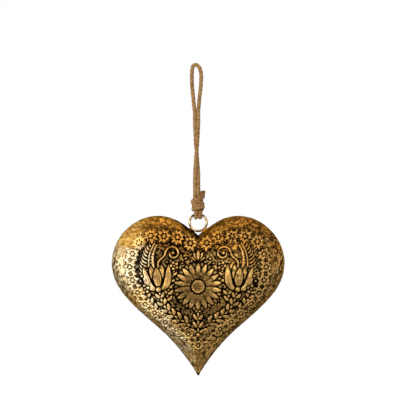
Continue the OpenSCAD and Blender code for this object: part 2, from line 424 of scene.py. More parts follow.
def jute_wraps():
    """The knot's turns, wound down round both strands with their ends tucked in."""
    turns, start_angle, tuck, tuck_depth = 3.1, math.radians(20), 0.07, 2.2
    share = np.linspace(0, 1, 220)
    angle = start_angle - FULL_TURN * turns * share
    tucked = np.maximum(1 - ease(share, 0, tuck), ease(share, 1 - tuck, 1))
    reach = (KNOT_D - CORD_D) / 2 - tuck_depth * tucked + 0.22 * np.sin(2.3 * angle + 0.6)
    top, foot = KNOT_TOP - 0.45 * CORD_D, KNOT_FOOT + 0.45 * CORD_D
    height = top + (foot - top) * share + 0.45 * np.cos(angle + 0.4)
    winding = np.stack([reach * np.cos(angle), reach * np.sin(angle), height], axis=1)
    line = smooth_line(winding[::4])
    build, rng = Build(), np.random.default_rng(12)
    add_rope(build, line, CORD_D, rng, crowded=(0, 0, 1))
    add_fuzz(build, line, CORD_D, 60, rng)
    piece = build.piece("jute_wraps", JUTE, "jute")
    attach(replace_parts(piece, "cord_knot"), "knot")
    return piece


def jute_tail():
    """The last turn, which crosses the front of the neck and stands up as the cut end."""
    low, high = box_mm("cord_tail")
    x, top = (low[0] + high[0]) / 2, high[2]
    line = smooth_line([
        (-4.9, 1.4, KNOT_TOP - 2.6), (-5.2, -1.5, KNOT_TOP - 1.2), (-3.2, -4.2, KNOT_TOP + 0.3),
        (0.6, -4.4, KNOT_TOP + 0.7), (x - 0.9, -3.9, KNOT_TOP + 2), (x, -3.2, KNOT_TOP + 4.6), (x, -2.8, top),
    ])
    build, rng = Build(), np.random.default_rng(13)
    add_rope(build, line, TAIL_D, rng, taper=0.45, end_darkening=0.5)
    add_fuzz(build, line, CORD_D, 30, rng, (0.3, 0.9))
    add_fuzz(build, line, CORD_D, 40, rng, (0.88, 0.99), 0.5)
    piece = build.piece("jute_tail", JUTE, "jute")
    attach(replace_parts(piece, "cord_tail"), "knot")
    return piece


def jute_bight():
    """Two turns of cord round the ring's wire, which start and end inside the knot."""
    strand_x, start_angle = 0.49 * BIGHT_D, 60
    turn_r = RING_WIRE_R + 0.52 * BIGHT_D
    turn = np.radians(np.linspace(start_angle, start_angle - 360, 33))
    y, z = turn_r * np.cos(turn), RING_TOP + turn_r * np.sin(turn)
    build, rng = Build(), np.random.default_rng(14)
    for x in (-strand_x, strand_x):
        line = smooth_line(np.stack([np.full(len(turn), x), y, z], axis=1))
        add_rope(build, line, BIGHT_D, rng)
        add_fuzz(build, line, BIGHT_D, 14, rng)
    piece = build.piece("jute_bight", JUTE, "jute")
    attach(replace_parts(piece, "cord_bight"), "bight")
    return piece


hanger, hanger_line = jute_hanger()
length_of(hanger_line) * MM
jute_wraps()
jute_tail()
jute_bight()

# The heart's outline. Places on the heart are across from its middle and up from the tops of its lobes.

shell_low, shell_high = box_mm("front_shell")
HALF_W = (shell_high[0] - shell_low[0]) / 2
HEART_H = shell_high[2] - shell_low[2]
HEART_Z = shell_high[2]
HALF_D = -shell_low[1]
SEAM_T = -2 * shell_high[1]
SHEET_T = 0.9
NOTCH_DEPTH, NOTCH_ANGLE = 21.0, 45.0
CROWN = np.array([0, -0.377 * HEART_H])
# Ends of the outline's curves
NOTCH, LOBE = np.array([0, -NOTCH_DEPTH]), np.array([0.465 * HALF_W, 0])
WIDEST, TURN = np.array([HALF_W, -0.295 * HEART_H]), np.array([0.448 * HALF_W, -0.704 * HEART_H])
TIP = np.array([0, -HEART_H])


def held_curve(a, a_hold, b_hold, b):
    """Control points of a curve that holds its end directions for shares of its length."""
    span = np.linalg.norm(b - a)
    return a, a + span * np.asarray(a_hold), b + span * np.asarray(b_hold), b


def half_outline(count):
    """Right half of the heart's outline from the notch to the tip."""
    notch_hold, lobe_hold, round_hold, side_hold = 0.29, 0.38, 0.53, 0.32
    turn_hold_up, turn_hold_down, tip_hold = 0.42, 0.4, 0.21
    flank_angle = math.degrees(math.atan2(HALF_W, HEART_H + WIDEST[1]))
    turn_way, tip_way = heading(flank_angle + 11.5), heading(flank_angle - 7.5)
    quarter = WIDEST - LOBE
    curves = [
        held_curve(NOTCH, notch_hold * heading(NOTCH_ANGLE), (-lobe_hold, 0), LOBE),
        (LOBE, LOBE + (round_hold * quarter[0], 0), WIDEST - (0, round_hold * quarter[1]), WIDEST),
        held_curve(WIDEST, (0, -side_hold), turn_hold_up * turn_way, TURN),
        held_curve(TURN, -turn_hold_down * turn_way, tip_hold * tip_way, TIP),
    ]
    return np.vstack([*(bezier(c, count)[:-1] for c in curves), TIP[None, :]])


# The embossing: a garland of star flowers round a bouquet, as heights over the heart's front

def nearest_on(axis, x, z):
    """For each place, the share of an axis's length at its nearest point, and the distance to it."""
    axis = np.asarray(axis, float)
    steps, run = np.diff(axis, axis=0), run_of(axis)
    far, share = np.full(x.shape, np.inf), np.zeros(x.shape)
    for start, step, before, after in zip(axis, steps, run, run[1:]):
        t = ((x - start[0]) * step[0] + (z - start[1]) * step[1]) / (after - before) ** 2
        t = np.clip(t, 0, 1)
        distance = np.hypot(x - start[0] - t * step[0], z - start[1] - t * step[1])
        share = np.where(distance < far, (before + t * (after - before)) / run[-1], share)
        far = np.minimum(far, distance)
    return share, far


def swelling(far, half_w, edge):
    """A round swelling's share of its height, which is edge at its sides."""
    return edge + (1 - edge) * np.sqrt(np.clip(1 - (far / half_w) ** 2, 0, 1))


class Relief:
    """Height of the embossing over a grid, pressed motif by motif, each with a groove round it."""

    STEP, MARGIN = 0.25, 2
    GROOVE_W, GROOVE_DEPTH = 0.9, 0.7
    # Half width above which a blade is ribbed, the half widths of midrib and ribs, and where the ribs lie
    RIBBED, MIDRIB_W, RIB_W, RIB_AT = 2.2, 0.45, 0.35, 0.55

    def __init__(self):
        self.x = np.arange(-HALF_W - self.MARGIN, HALF_W + self.MARGIN, self.STEP)
        self.z = np.arange(-HEART_H - self.MARGIN, self.MARGIN, self.STEP)
        self.height = np.zeros((len(self.z), len(self.x)))

    def window(self, points, reach):
        """The cells within reach of some points, and where they lie."""
        points = np.atleast_2d(points)
        low, high = points.min(axis=0) - reach - self.MARGIN, points.max(axis=0) + reach + self.MARGIN
        rows = slice(*np.searchsorted(self.z, (low[1], high[1])))
        columns = slice(*np.searchsorted(self.x, (low[0], high[0])))
        return (rows, columns), *np.meshgrid(self.x[columns], self.z[rows])

    def press(self, cells, inside, rise, groove=GROOVE_DEPTH, groove_w=GROOVE_W, crease=-GROOVE_DEPTH):
        """Raises the cells inside a motif, and cuts a groove in those just outside it. Where something was
        raised before, the groove is cut no lower than crease."""
        held = self.height[cells]
        bottom = np.where(held > 0, max(crease, -groove), -groove)
        cut = np.where(inside > -groove_w, np.minimum(held, bottom), held)
        self.height[cells] = np.where(inside > 0, rise, cut)

    def blades(self, axes, half_w, rise, widest=0.45, midrib=0.0, point=0.85, **groove):
        """Leaves or petals that grow together, each widest at a share of its length, with pointed ends."""
        cells, x, z = self.window(np.vstack(axes), half_w)
        inside, top = np.full(x.shape, -np.inf), np.full(x.shape, -np.inf)
        for axis in axes:
            share, far = nearest_on(axis, x, z)
            width = half_w * np.sin(math.pi * share ** (math.log(0.5) / math.log(widest))) ** point
            blade_top = rise * swelling(far, np.maximum(width, 0.01), 0.4)
            blade_top = blade_top - midrib * np.exp(-((far / self.MIDRIB_W) ** 2))
            if half_w > self.RIBBED:
                blade_top = blade_top - midrib * np.exp(-(((far - self.RIB_AT * width) / self.RIB_W) ** 2))
            inside = np.maximum(inside, width - far)
            top = np.maximum(top, np.where(far < width, blade_top, -np.inf))
        self.press(cells, inside, top, **groove)

    def ridge(self, axis, half_w, rise):
        cells, x, z = self.window(axis, half_w)
        far = nearest_on(axis, x, z)[1]
        self.press(cells, half_w - far, rise * swelling(far, half_w, 0.35))

    def bead(self, centre, radius, rise, groove=GROOVE_DEPTH):
        """A round boss."""
        cells, x, z = self.window(centre, radius)
        far = np.hypot(x - centre[0], z - centre[1])
        self.press(cells, radius - far, rise * swelling(far, radius, 0.3), groove)

    def sink(self, centre, radius, depth):
        """A round pit."""
        cells, x, z = self.window(centre, radius)
        inside = np.hypot(x - centre[0], z - centre[1]) < radius
        self.height[cells] = np.where(inside, -depth, self.height[cells])

    def matted(self, rng, pit, depth):
        """Punches a ground of pits where nothing is pressed inside the garland, and returns that field."""
        x, z = np.meshgrid(self.x, self.z)
        turn = np.arctan2(np.abs(x - CROWN[0]), z - CROWN[1])
        ways = half_outline(60) - CROWN
        reach = np.interp(turn, np.arctan2(ways[:, 0], ways[:, 1]), np.linalg.norm(ways, axis=1))
        field_end, field_whole = 0.8, 0.7
        field = ease(np.hypot(x - CROWN[0], z - CROWN[1]) / reach, field_end, field_whole)
        grain = self.blurred(rng.normal(0, 1, x.shape), pit)
        pits = np.clip(grain / grain.std() - 0.2, 0, 1.2) * depth * field
        self.height -= np.where(self.height == 0, pits, 0)
        return field

    def blurred(self, grid, reach):
        """A grid smoothed over a reach in millimetres."""
        cells = int(math.ceil(3 * reach / self.STEP))
        weight = np.exp(-0.5 * (np.arange(-cells, cells + 1) * self.STEP / reach) ** 2)
        weight /= weight.sum()

        def smoothed(row):
            return np.convolve(np.pad(row, cells, mode="edge"), weight, mode="valid")

        for axis in (0, 1):
            grid = np.apply_along_axis(smoothed, axis, grid)
        return grid

    def sample(self, grid, x, z):
        """A grid's values at places between its cells."""
        u, v = (x - self.x[0]) / self.STEP, (z - self.z[0]) / self.STEP
        i = np.clip(u.astype(int), 0, len(self.x) - 2)
        j = np.clip(v.astype(int), 0, len(self.z) - 2)
        u, v = u - i, v - j
        low = grid[j, i] * (1 - u) + grid[j, i + 1] * u
        high = grid[j + 1, i] * (1 - u) + grid[j + 1, i + 1] * u
        return low * (1 - v) + high * v


# Run of the first flower, gaps between open flowers and crowded ones, and the height where they crowd
FIRST_FLOWER, OPEN_GAP, CROWDED_GAP, CROWDED_BELOW = 11.0, 13.4, 6.7, -32
# Nearer to the middle than this, one flower stands for both sides
LONE_WITHIN = 4


def star_petals(relief, centre, radius, turn, lengths, crowded, hidden):
    """A flower's pointed petals over narrower ones, or one round of fuller ones where flowers are crowded."""
    rounds, crease = [(0.5, 0.12, 0.45, 0.9, 0.7), (0, 0.2, 0.95, 1.15, 0.5)], -0.15
    if crowded:
        rounds, crease = [(0, 0.27, 0.7 if hidden else 0.95, 1.1, 0.5)], 0.22
    for between, half_w, rise, point, groove_w in rounds:
        ways = headings(len(lengths), turn, between)
        axes = [(centre, centre + radius * length * way) for length, way in zip(lengths, ways)]
        relief.blades(axes, half_w * radius, rise, 0.44, 0.1, point, groove_w=groove_w, crease=crease)


def star_eye(relief, centre, radius, turn, hidden):
    """The middle of a flower: a bead in a ring of pits, or a few close pits if it is half hidden."""
    ring, pit, count = (0.2, 0.135, 4) if hidden else (0.31, 0.125, 6)
    if not hidden:
        relief.bead(centre, 0.12 * radius, 0.9, -0.9)
    for way in headings(count, turn):
        relief.sink(centre + ring * radius * way, pit * radius, 0.5)


def garland_stops():
    """Places of the flowers on the right, the garland's direction there, and which are half hidden."""
    ways = half_outline(60) - CROWN
    up = ways[:, 1] / np.linalg.norm(ways, axis=1)
    inset = 0.787 - 0.11 * ease(up, 0.55, 0.82) + 0.065 * ease(-up, 0, 0.5) - 0.13 * ease(-up, 0.88, 1)
    line = CROWN + ways * inset[:, None]
    stops, run, hidden = [], FIRST_FLOWER, False
    while run < length_of(line) - 3:
        here = point_at(line, run)
        stops.append((here, unit(point_at(line, run + 1) - here), hidden))
        crowded = here[1] < CROWDED_BELOW
        hidden = crowded and not hidden
        run += CROWDED_GAP if crowded else OPEN_GAP
    return stops


def garland(relief, rng):
    """Star flowers along a line inside the outline, with half-hidden ones between them below the lobes."""
    flowers = []
    for here, way, hidden in garland_stops():
        radius = 6.2 + 1.0 * ease(here[1], -90, -60) + 1.1 * ease(here[1], -40, -31)
        crowded = here[1] < CROWDED_BELOW
        shorter = 0.42 if hidden else 0.25 * crowded
        for side in (1, -1) if here[0] > LONE_WITHIN else (0,):
            place = here * (side, 1) + rng.uniform(-0.5, 0.5, 2)
            petals, turn = int(rng.integers(7, 10)), rng.uniform(0, 45)
            along = headings(petals, turn) @ (way * (side, 1))
            lengths = rng.uniform(0.88, 1.1, petals) * (1 - shorter * np.square(along))
            flowers.append((place, radius, turn, lengths, crowded, hidden))
    for flower in sorted(flowers, key=lambda flower: not flower[-1]):
        star_petals(relief, *flower)
    for place, radius, turn, _, _, hidden in flowers:
        star_eye(relief, place, radius, turn, hidden)


def marguerite(relief, centre, radius, petals):
    """A large daisy: two rounds of ribbed petals round a beaded disc."""
    centre = np.asarray(centre, float)
    for between, reach, rise in ((0.5, 1, 0.5), (0, 0.95, 0.9)):
        ways = radius * headings(petals, between=between)
        axes = [(centre + 0.15 * way, centre + reach * way) for way in ways]
        relief.blades(axes, 0.098 * radius, rise, 0.6, 0.5, 0.7)
    relief.bead(centre, 0.27 * radius, 1.0)
    for ring, count in ((0.07, 5), (0.14, 10), (0.21, 15)):
        for way in headings(count):
            relief.bead(centre + ring * radius * way, 0.036 * radius, 1.25, -0.5)


def leafy_stem(relief, line, first, gap, leaf, half_w=0.95):
    """A stem with pairs of leaves that grow smaller towards its end."""
    relief.ridge(line, half_w, 0.6)
    length = length_of(line)
    for run in np.arange(first, length - 1, gap):
        here = point_at(line, run)
        way = unit(point_at(line, run + 0.5) - here)
        reach = leaf * (1 - 0.35 * run / length)
        for turn in (-1, 1):
            out = turn * np.array([way[1], -way[0]])
            bow = here + reach * (0.3 * way + 0.42 * out)
            tip = here + reach * (0.82 * way + 0.62 * out)
            relief.blades([bezier((here, bow, bow, tip), 10)], 0.17 * reach + 0.35, 0.8, 0.45, 0.45)


def fern(relief, line, first, gap, leaf, longer):
    """A frond of narrow leaflets that grow smaller towards its end, longer on one side."""
    length = length_of(line)
    axes = []
    for run in np.arange(first, length, gap):
        here = point_at(line, run)
        way = unit(point_at(line, run + 0.5) - point_at(line, run - 0.5))
        for turn in (-1, 1):
            reach = leaf * (1 - 0.55 * run / length) * (1.45 if turn == longer else 1)
            out = turn * np.array([way[1], -way[0]])
            bow = here + reach * (0.6 * out + 0.2 * way)
            axes.append(bezier((here, bow, bow, here + reach * (0.8 * out + 0.75 * way)), 8))
    relief.blades(axes, 0.95, 0.85, 0.45, 0.0, 0.7, groove_w=0.7)
    relief.ridge(line, 0.8, 0.7)


def tulip(relief, base, lean, size):
    """A tulip seen from the side, with three inner petals between two that curl out."""
    up, across = heading(lean), heading(lean + 90)

    def place(u, v):
        return base + size * (u * across + v * up)

    for u in (-0.22, 0.22):
        inner = bezier((place(0, 0.05), place(0.2 * u, 0.4), place(u, 0.6), place(u, 1.0)), 12)
        relief.blades([inner], 0.12 * size, 0.6, 0.55, 0.35)
    relief.blades([[place(0, 0.02), place(0, 0.9)]], 0.16 * size, 0.75, 0.5, 0.45)
    for u in (-1, 1):
        outer = bezier((place(0, 0), place(0.5 * u, 0.02), place(0.4 * u, 0.5), place(0.52 * u, 0.98)), 14)
        relief.blades([outer], 0.13 * size, 0.9, 0.45, 0.45)
    relief.bead(base, 0.1 * size, 0.9)


def blossom(relief, centre, radius, turn):
    """A small flower of five round petals."""
    axes = [(centre, centre + radius * way) for way in headings(5, turn)]
    relief.blades(axes, 0.31 * radius, 0.75, 0.66, 0.35)
    relief.bead(centre, 0.22 * radius, 0.9)


def tendril(relief, stalk, centre, hand, radius=7, windings=1.25):
    """A stalk that ends in a curl wound in to its centre."""
    t = np.linspace(0, 1, 40)
    angle = hand * (math.pi / 2 - FULL_TURN * windings * t)
    reach = radius * (1 - t) ** 0.75 + 0.6
    curl = centre + np.stack([np.sin(angle), np.cos(angle)], axis=1) * reach[:, None]
    relief.ridge(np.vstack([bezier((*stalk, curl[0]), 16), curl[1:]]), 1.0, 0.7)
    relief.bead(curl[-1], 1.7, 0.8)


# The right half of the bouquet. Stems: control points, points along them, first leaves, gap and longest leaf
LEAFY_STEMS = [
    (((1, -124), (14, -116), (40, -104), (51, -78)), 40, 9, 7.2, 10),
    (((31, -89), (31, -76), (27, -66), (23, -50)), 30, 6, 6.5, 7.5),
    (((1, -122), (4, -98), (34, -106), (38, -74)), 40, 12, 7.5, 10),
]
FERN_STEM = ((45, -62), (50, -52), (51, -38), (43, -27))
TENDRIL_STALK, TENDRIL_CENTRE = ((39, -50), (42, -42), (33.5, -42)), (25, -36.5)
# Small flowers: place, radius and turn. Berries: place and radius
BLOSSOMS = [((52.5, -72), 5.2, 10), ((23.5, -48.5), 4.6, 20)]
BERRIES = [((12, -41.5), 1.2), ((15.5, -46), 1), ((55.5, -59), 1.3), ((57, -64), 1.1), ((31, -45), 1.1)]
RIBBON_END, RIBBON_BOW = ((0, -118), (4.5, -129)), ((0, -117), (4, -111), (14, -112), (10, -117))
# The leaves over the daisy: the foot that they spread from, and their angles and lengths
CREST_FOOT, CREST_LEAVES = (0, -43.5), ((-62, 8), (62, 8), (-31, 10), (31, 10), (0, 11))


def bouquet(relief):
    """A mirrored bunch tied near the tip: a large daisy between tulips, leafy stems, curls and berries."""
    def mirrored(places, side):
        return np.multiply(places, (side, 1))

    for side in (-1, 1):
        for stem, count, *leaves in LEAFY_STEMS:
            leafy_stem(relief, bezier(mirrored(stem, side), count), *leaves)
        fern(relief, bezier(mirrored(FERN_STEM, side), 30), first=3, gap=3.2, leaf=8.5, longer=side)
        tendril(relief, mirrored(TENDRIL_STALK, side), mirrored(TENDRIL_CENTRE, side), side)
        tulip(relief, mirrored((39, -72), side), lean=6 * side, size=25)
        for place, radius, turn in BLOSSOMS:
            blossom(relief, mirrored(place, side), radius, turn * side)
        for place, radius in BERRIES:
            relief.bead(mirrored(place, side), radius, 0.7)
    middle_stem = np.array([(0.0, -126), (0, -110), (0, -92)])
    leafy_stem(relief, middle_stem, first=8, gap=8, leaf=9.5, half_w=0.9)
    for side in (-1, 1):
        relief.ridge(mirrored(RIBBON_END, side), 0.7, 0.55)
        relief.blades([bezier(mirrored(RIBBON_BOW, side), 14)], 2.2, 0.85, 0.6, 0.4)
    relief.bead((0, -117.5), radius=2.0, rise=1.0)
    for turn, length in CREST_LEAVES:
        relief.blades([[CREST_FOOT, CREST_FOOT + length * heading(turn)]], 1.7, 0.8, 0.5, 0.4)
    marguerite(relief, centre=(0, -69), radius=25, petals=18)


def embossed():
    """The relief, and grids of its height, of what is hollow, of painted shade and the dark ground of the
    field, of what stands out to be polished by wear, and of the inner field.
    """
    rng = np.random.default_rng(21)
    relief = Relief()
    bouquet(relief)
    garland(relief, rng)
    field = relief.matted(rng, pit=0.5, depth=0.5)
    height = relief.blurred(relief.height, reach=0.28)
    near, wide = (relief.blurred(height, reach) for reach in (1.3, 3.5))
    hollow = np.clip((near - height - 0.02) / 0.4, 0, 1)
    # shade: painted shade on the ground round the motifs, which also darkens the matted ground of the field
    shade = np.clip((wide - height) / 0.5 + 0.32 * field * (height < 0.1), 0, 1) * (0.75 + 0.25 * field)
    rubbed_and_highlit = np.clip((height - 0.6 * near - 0.4 * wide) / 0.35, 0, 1)
    # Hollows stay darker to the right and low down; painted shade is stronger to the right, away from the
    # light, and weaker low down
    low, right, around = ease(relief.z, -70, -95)[:, None], ease(relief.x, 15, 45)[None, :], 1 - field
    hollow = hollow * (1 - (0.34 - 0.3 * np.maximum(right, low)) * around)
    shade = shade * (1 - 0.4 * low * around) * (1 + 0.35 * right * around)
    dents = relief.blurred(rng.normal(0, 1, height.shape), reach=4.5)
    height += 0.12 * dents / dents.std()
    return relief, {"height": height, "hollow": hollow, "shade": shade, "rubbed_and_highlit": rubbed_and_highlit, "field": field}


# The form of the heart's two shells

# Length between the points of the outside and between the rings of the plain inside
SURFACE_STEP, INNER_STEP = 0.51, 6.0
# The dome: the oval that the outline softens into, and how full it is
OVAL_W = 0.93 * HALF_W
OVAL_UP, OVAL_DOWN = 1.25 * (-CROWN[1] - NOTCH_DEPTH), 0.8 * (HEART_H + CROWN[1])
SOFTEN_POWER, DOME_POWER = 3, 2.4
SIDE_FULLNESS, TIP_FULLNESS, TIP_SPREAD = 0.58, 1.0, 4

half_line = half_outline(140)
half_way = unit(half_line - CROWN)
half_reach = np.linalg.norm(half_line - CROWN, axis=1)
half_edge = unit(np.gradient(half_line, axis=0))
half_slant = np.abs(half_way[:, 0] * half_edge[:, 1] - half_way[:, 1] * half_edge[:, 0])
oval_h = np.where(half_way[:, 1] > 0, OVAL_UP, OVAL_DOWN)
half_oval = 1 / np.hypot(half_way[:, 0] / OVAL_W, half_way[:, 1] / oval_h)
tipward = np.maximum(0, -half_way[:, 1]) ** TIP_SPREAD
half_fullness = SIDE_FULLNESS + (TIP_FULLNESS - SIDE_FULLNESS) * tipward


def half_ring(t, wall):
    """Right half of the shell's section at a share t of the way from the crown to the rim."""
    reach = t * (half_oval + (half_reach - half_oval) * t**SOFTEN_POWER - wall / half_slant)
    plan = CROWN + half_way * reach[:, None]
    rise = (HALF_D - SEAM_T / 2 - wall) * max(0, 1 - t**DOME_POWER) ** half_fullness
    return np.stack([plan[:, 0], -SEAM_T / 2 - rise, plan[:, 1]], axis=1)


def ring_shares(step):
    """Shares of the way from crown to rim that are about a step apart on the dome's side."""
    t = np.linspace(0, 1, 4000)
    side = int(np.argmax(half_line[:, 0]))
    rise = (HALF_D - SEAM_T / 2) * (1 - t**DOME_POWER) ** half_fullness[side]
    run = run_of(np.stack([t * half_reach[side], rise], axis=1))
    return np.interp(np.linspace(0, run[-1], round(run[-1] / step) + 1), run, t)[1:]


def full_ring(t, wall, count=None):
    """A whole section with its points equally spaced on each side, from the notch round to the notch."""
    half = half_ring(t, wall)
    length = length_of(half)
    count = count or max(3, round(length / SURFACE_STEP))
    right = point_at(half, np.linspace(0, length, count + 1))
    left = (right * (-1, 1, 1))[-2:0:-1]
    return np.vstack([right, left])


def zipped(a, a_count, b, b_count):
    """Triangles between two rings of points that start at a and b."""
    faces, i, j = [], 0, 0
    while i < a_count or j < b_count:
        if j == b_count or (i < a_count and (i + 1) * b_count <= (j + 1) * a_count):
            faces.append((a + i, a + (i + 1) % a_count, b + j % b_count))
            i += 1
        else:
            faces.append((a + i % a_count, b + (j + 1) % b_count, b + j))
            j += 1
    return faces


def dome(rings, wall):
    """Points and triangles of a dome from its rim rings inward to its crown."""
    starts = np.concatenate([[0], np.cumsum([len(r) for r in rings])]).astype(int)
    faces = []
    for k in range(len(rings) - 1):
        faces += zipped(starts[k], len(rings[k]), starts[k + 1], len(rings[k + 1]))
    last, count = starts[-2], len(rings[-1])
    faces += [(last + i, last + (i + 1) % count, starts[-1]) for i in range(count)]
    return np.vstack([*rings, (0, wall - HALF_D, CROWN[1])]), np.array(faces)


def outward_normals(points, faces):
    a, b, c = (points[faces[:, i]] for i in range(3))
    normals = np.zeros_like(points)
    for i in range(3):
        np.add.at(normals, faces[:, i], np.cross(b - a, c - a))
    return -unit(normals)


def shell_form(relief, height):
    """The front shell's outside before and after embossing, its plain inside, and the faces of both."""
    outer_rings = [full_ring(t, 0) for t in ring_shares(SURFACE_STEP)[::-1]]
    plain, outer_faces = dome(outer_rings, 0)
    plain_depth = 3
    faded_in = ease(-plain[:, 1], SEAM_T / 2, SEAM_T / 2 + plain_depth)
    raised = relief.sample(height, plain[:, 0], plain[:, 2]) * faded_in
    outer = plain + outward_normals(plain, outer_faces) * raised[:, None]
    rim_count = len(outer_rings[0])
    inner_rings = [full_ring(1, SHEET_T, rim_count // 2)]
    for t in ring_shares(INNER_STEP)[-2::-1]:
        inner_rings.append(full_ring(t, SHEET_T, max(6, round(rim_count * t / 20))))
    inner, inner_faces = dome(inner_rings, SHEET_T)
    here = np.arange(rim_count)
    ahead = np.roll(here, -1)
    rim = np.stack([here, ahead, len(outer) + ahead, len(outer) + here], axis=1)
    faces = [*outer_faces[:, ::-1].tolist(), *(inner_faces + len(outer)).tolist(), *rim.tolist()]
    return plain, outer, inner, faces


# The heart's patina, with painted highlights, sheen and shade

# Along this line the left side of the heart is painted pale: a painted highlight of the light from the left
HIGHLIGHT_LINE = [(-82, -38), (-80, -54), (-66, -80), (-40, -107), (-20, -124), (-7, -142)]
# Shares of the highlight line's length, and how far its painted highlight reaches there
HIGHLIGHT_REACH = (0, 0.12, 0.35, 0.63, 0.83, 1), (62, 56, 40, 30, 20, 8)
# Along this line the upper left lobe is brightened with a painted sheen
SHEEN_LINE = [(-84, -34), (-76, -24), (-69, -17)]
# Along this line the notch's left wall is blackened with painted shade
NOTCH_SHADE_LINE = [(-24, -3.4), (-16, -7.5), (-7, -14.5), (0, -21)]
# Darker spots: place, half width, half height and strength. The ones high by the notch are painted shade in
# the cleft; the one low on the left and the one at the tip are darker patina
DARK_SPOTS = [
    (-36, -9.5, 16, 5, 0.6), (-20, -11, 13, 10, 0.45), (4, -18, 6, 6, 0.7), (-38, -107, 13, 8, 1),
    (-1.5, -138, 5, 8, 0.55), (30, -9, 12, 6, 0.45),
]
# Tones low on the heart, at its top, on the upper left lobe, brightened there as a painted sheen, and on the
# pale left side, a painted highlight of the light from the left
GOLD = (0.51, 0.275, 0.075), (0.35, 0.14, 0.015), (0.86, 0.46, 0.085), (0.51, 0.34, 0.145)
BROWN = (0.05, 0.026, 0.007), (0.06, 0.022, 0.004), (0.42, 0.19, 0.03), (0.14, 0.09, 0.036)
BRIGHT = (0.68, 0.40, 0.125), (0.61, 0.275, 0.042), (0.97, 0.67, 0.21), (0.80, 0.665, 0.41)
GRIT, BLACK = (0.01, 0.006, 0.003), (0.003, 0.002, 0.001)
# In metres: where the top's tone starts and is full, and where painted shade darkens the metal to the right
WARM_START, WARM_FULL, SHADE_RIGHT_START, SHADE_RIGHT_END = -0.2, -0.16, -0.01, 0.075


def soot_at(x, z):
    """How much painted shade blackens the left wall of the notch at a place."""
    along, away = nearest_on(NOTCH_SHADE_LINE, x, z)
    spread = ease(along, 0, 0.6)
    return ease(away, 0.8 + 2.7 * spread, 0.1 + 0.8 * spread)


def patina_values(plain, outer, relief, grids):
    """Point values of the outside: how far each point has each mark of the patina and of the painted light
    and shade. Each ease() goes from the place where a mark starts to the place where it is full."""
    x, depth, z = plain[:, 0], -outer[:, 1], plain[:, 2]
    marks = ("hollow", "shade", "rubbed_and_highlit", "field")
    hollow, shade, rubbed_and_highlit, within = (relief.sample(grids[name], x, z) for name in marks)
    # pale: the painted highlight of the light from the left, strongest high on the left side
    along, away = nearest_on(HIGHLIGHT_LINE, x, z)
    highlit_flank = ease(away / np.interp(along, *HIGHLIGHT_REACH), 1, 0.3) * ease(z, -12, -47)
    pale = highlit_flank * (1 - 0.45 * ease(along, 0.02, 0.4) + 0.12 * ease(along, 0.38, 0.6))
    # painted_sheen: the painted sheen on the upper left lobe, and low on the left side
    painted_sheen = np.maximum(ease(nearest_on(SHEEN_LINE, x, z)[1], 24, 8), 0.8 * highlit_flank * ease(z, -60, -85))
    upper_right = ease(x, 0, 35) * ease(z, -75, -55)
    highlight_rim, lobes = pale * (1 - 0.3 * within), ease(z, -38, -30)
    hollow = hollow * (1 - 0.2 * highlight_rim) * (1 - 0.1 * lobes)
    shade = shade * (1 - 0.3 * upper_right * within) * (1 - 0.4 * highlight_rim) * (1 - 0.2 * lobes)
    shade = shade + 0.12 * within * ease(x, 12, -8) * ease(shade, 0.1, 0.4)
    ground = within * (1 - 0.8 * upper_right)
    # edge: painted shade along the rim of the lower heart, where the dome turns away
    edge = 0.42 * ease(depth, 4.5, 1.5) * ease(z, -50, -80) * ease(z, -150, -132) * ease(x, 45, 0)
    side = 0.8 * ease(depth, 16, 6) * ease(x, -40, -60) * ease(z, -35, -49)
    spots = [
        strength * ease(np.hypot((x - across) / half_w, (z - up) / half_h), 1, 0.35)
        for across, up, half_w, half_h, strength in DARK_SPOTS
    ]
    calm = np.maximum(0.45 * ease(z, -128, -140), 0.7 * ease(x, -45, -65) * ease(z, -45, -36))
    return {
        "hollow": hollow,
        "shade": shade,
        "rubbed_and_highlit": rubbed_and_highlit * (1 - 0.15 * within),
        "pale": pale,
        "painted_sheen": painted_sheen,
        # brown_and_shade: darker patina on the field's ground and in spots low down, and painted shade along
        # the rim and in the cleft
        "brown_and_shade": np.max([ground, edge, side, *spots], axis=0),
        # blackening: painted shade on the notch's left wall
        "soot": soot_at(x, z) * ease(depth, 22, 9),
        "fringe": ease(depth, 17, 8) * (0.35 + 0.65 * ease(z, -12, -34)) * (1 - calm),
    }


